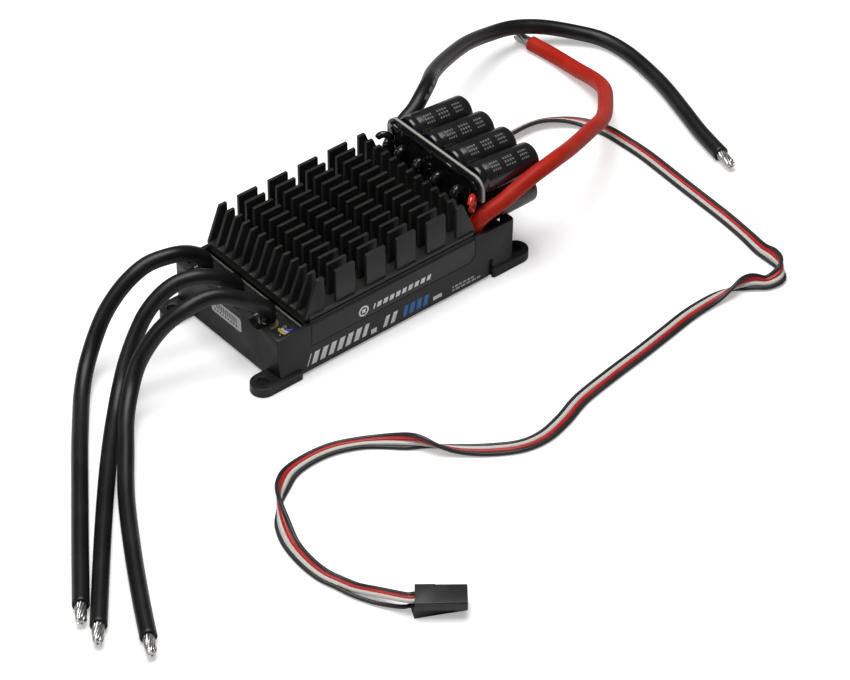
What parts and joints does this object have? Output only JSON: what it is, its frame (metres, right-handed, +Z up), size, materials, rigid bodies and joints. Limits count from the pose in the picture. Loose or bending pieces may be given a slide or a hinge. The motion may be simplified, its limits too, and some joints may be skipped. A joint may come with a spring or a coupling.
{
  "type": "electronic speed controller",
  "caption": "Brushless motor speed controller: lidded plastic case with mounting ears, finned heat sink, a bank of round capacitors, thick silicone leads and a ribbon with servo plugs.",
  "frame": {"origin": "below the middle of the body's bounding box (leads, tips and plugs left out), on the plane that the mounting feet stand on", "axes": "+Z up out of the mounting surface, +X towards the capacitor bank and battery leads, -X towards the motor leads, +Y across"},
  "size_m": [0.2988, 0.1981, 0.0365],
  "materials": {
    "case_plastic": "satin moulded plastic",
    "black_anodised": "black anodised extrusion, satin",
    "screw_steel": "plated steel",
    "black_board": "glass-fibre board, black solder mask",
    "green_board": "glass-fibre board, green solder mask",
    "bare_board": "glass-fibre board with bare edges",
    "chip_resin": "moulded resin with tinned legs",
    "ferrite": "pressed ferrite",
    "pad_silicone": "soft filled silicone",
    "tin": "tinned copper and solder",
    "sense_insulation": "thin blue, white and yellow insulation",
    "spacer_brass": "turned brass",
    "connector_plastic": "moulded plastic",
    "can_aluminium": "drawn aluminium with a rubber bung",
    "sleeve_film": "shrunk glossy film with plain grey marks",
    "sealant": "glossy black sealant",
    "black_insulation": "soft black silicone insulation",
    "red_insulation": "soft red silicone insulation",
    "ribbon_insulation": "joined black, red and white conductors",
    "label_paper": "white label with plain grey bars",
    "plug_plastic": "moulded plastic",
    "contact_brass": "plated crimp contacts"
  },
  "bodies": {
    "root": {"lower_case": "case_plastic", "heat_sink": "black_anodised", "case_screws": "screw_steel", "power_board": "black_board", "power_transistors": "chip_resin", "thermal_pad": "pad_silicone", "phase_bus_bars": "tin", "phase_solder_joints": "tin", "battery_solder_joints": "tin", "sense_wires": "sense_insulation", "control_board": "green_board", "board_spacers": "spacer_brass", "controller_chip": "chip_resin", "gate_drivers": "chip_resin", "board_connector": "connector_plastic", "regulator_inductor": "ferrite", "capacitor_board": "bare_board", "capacitor_cans": "can_aluminium", "capacitor_sleeves": "sleeve_film", "capacitor_leads": "tin", "capacitor_sealant": "sealant", "board_links": "black_insulation", "red_jumper": "red_insulation", "black_jumper": "black_insulation", "serial_label": "label_paper", "motor_lead_a": "black_insulation", "motor_lead_b": "black_insulation", "motor_lead_c": "black_insulation", "battery_lead_red": "red_insulation", "battery_lead_black": "black_insulation", "motor_tip_a": "tin", "motor_tip_b": "tin", "motor_tip_c": "tin", "battery_tip_red": "tin", "battery_tip_black": "tin", "signal_ribbon": "ribbon_insulation", "signal_ribbon_end": "ribbon_insulation", "signal_tail": "black_insulation", "upper_plug": "plug_plastic", "lower_plug": "plug_plastic", "upper_plug_contacts": "contact_brass", "lower_plug_contacts": "contact_brass"}
  },
  "joints": []
}
